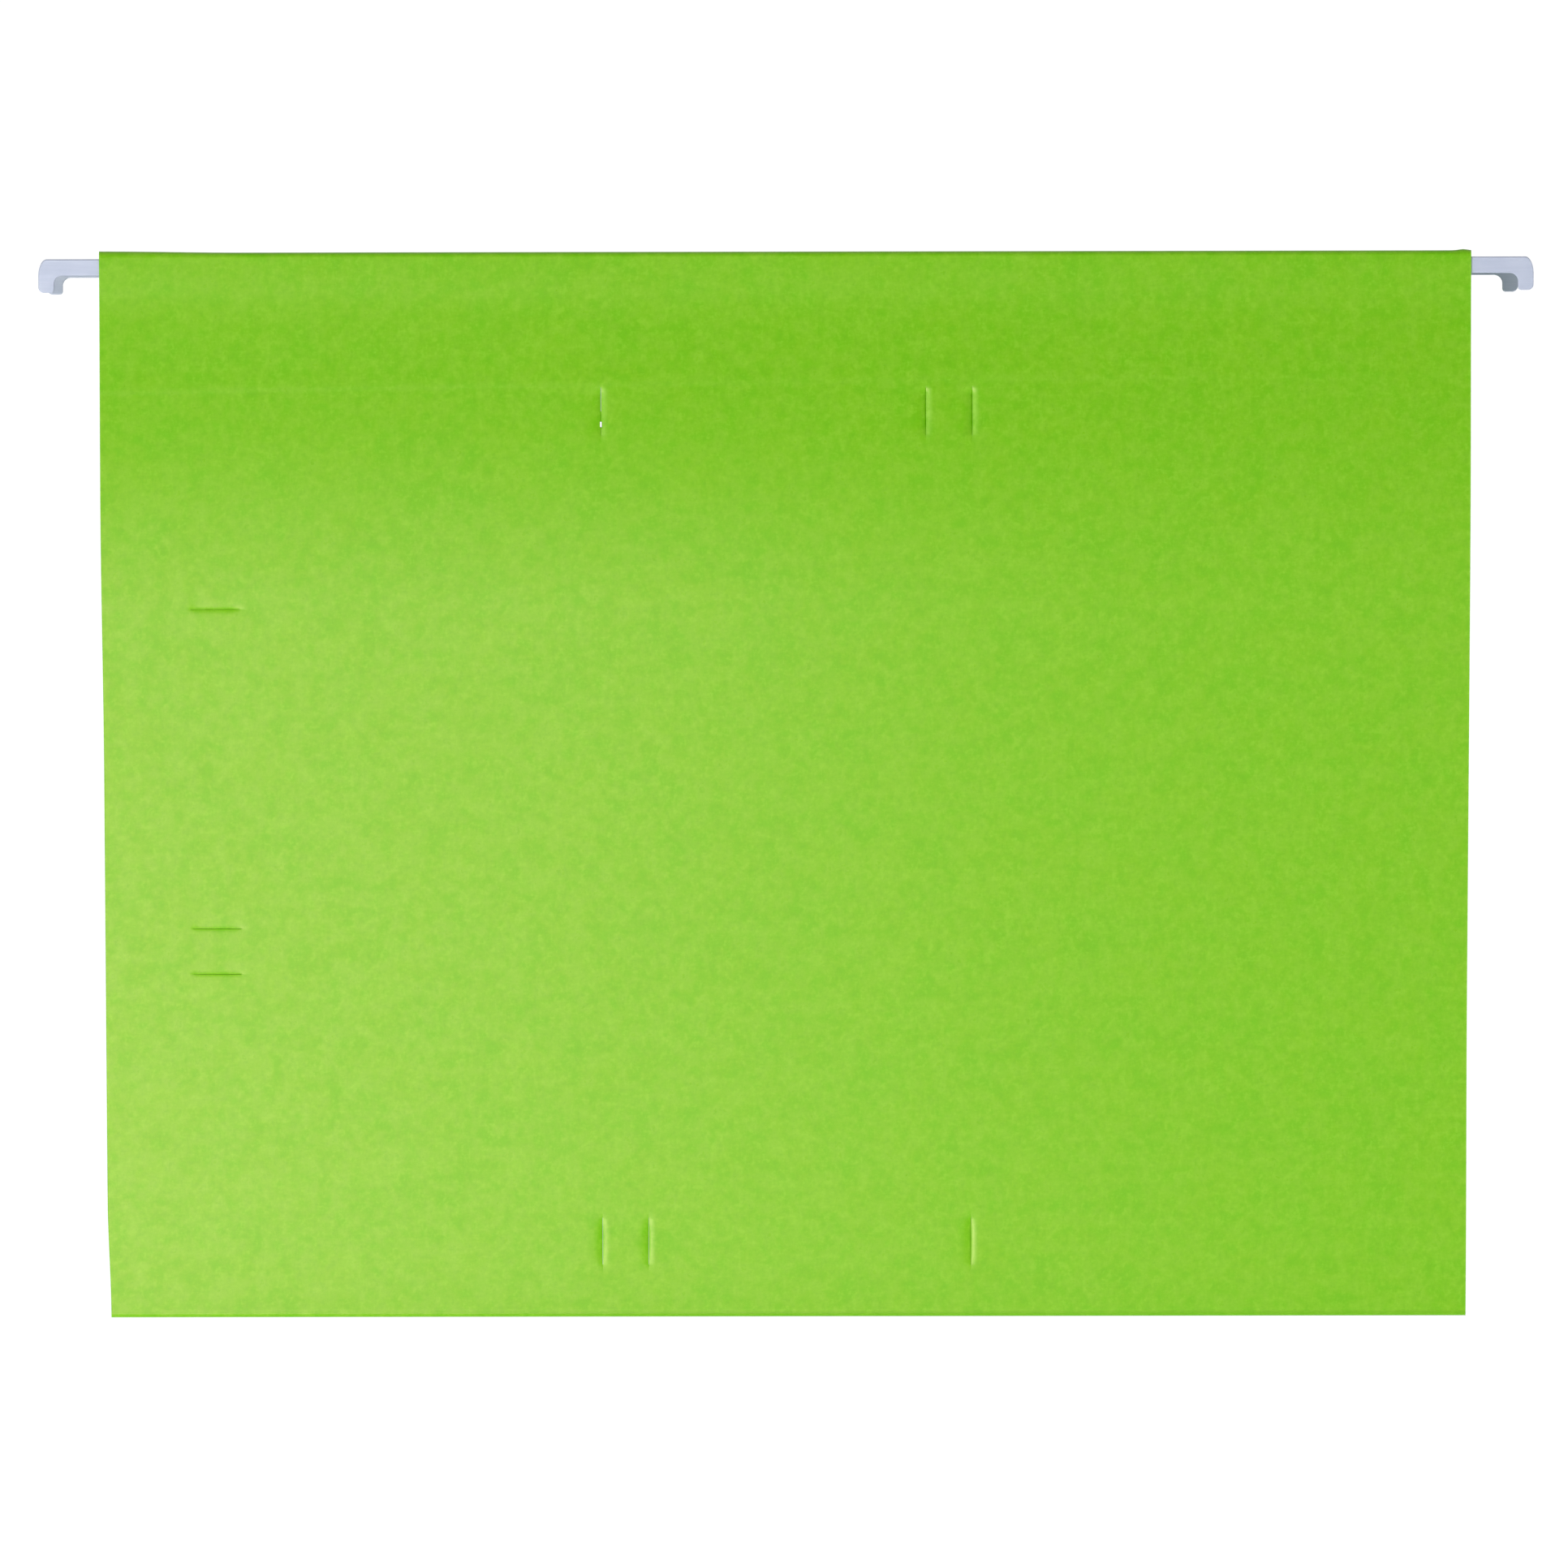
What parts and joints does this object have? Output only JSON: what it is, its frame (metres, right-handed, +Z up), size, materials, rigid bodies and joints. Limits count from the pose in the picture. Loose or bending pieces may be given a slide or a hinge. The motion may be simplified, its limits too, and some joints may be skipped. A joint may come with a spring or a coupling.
{
  "type": "hanging_file_folder",
  "caption": "Lime green card hanging file folder with fastener slits, hung open by two flat pale steel rods with hooked ends.",
  "frame": {"origin": "midway between the two strips and between the two ends, level with the rail seats under the hook arms", "axes": "+X along the strips to the right as seen from the front, +Y from front cover to rear cover, +Z up"},
  "size_m": [0.322, 0.057, 0.2306],
  "materials": {
    "card": "matte",
    "glue": "satin",
    "steel": "satin"
  },
  "bodies": {
    "rear_leaf": {"rear_cover": "card", "rear_hem_glue": "glue", "rear_rod": "steel"},
    "front_leaf": {"front_cover": "card", "front_hem_glue": "glue", "front_rod": "steel"}
  },
  "joints": [
    {"name": "front_cover_fold", "type": "hinge", "parent": "rear_leaf", "child": "front_leaf", "pos_m": [0, 0, -0.22569], "axis": [1, 0, 0], "range_deg": [-12.9, 165]}
  ]
}
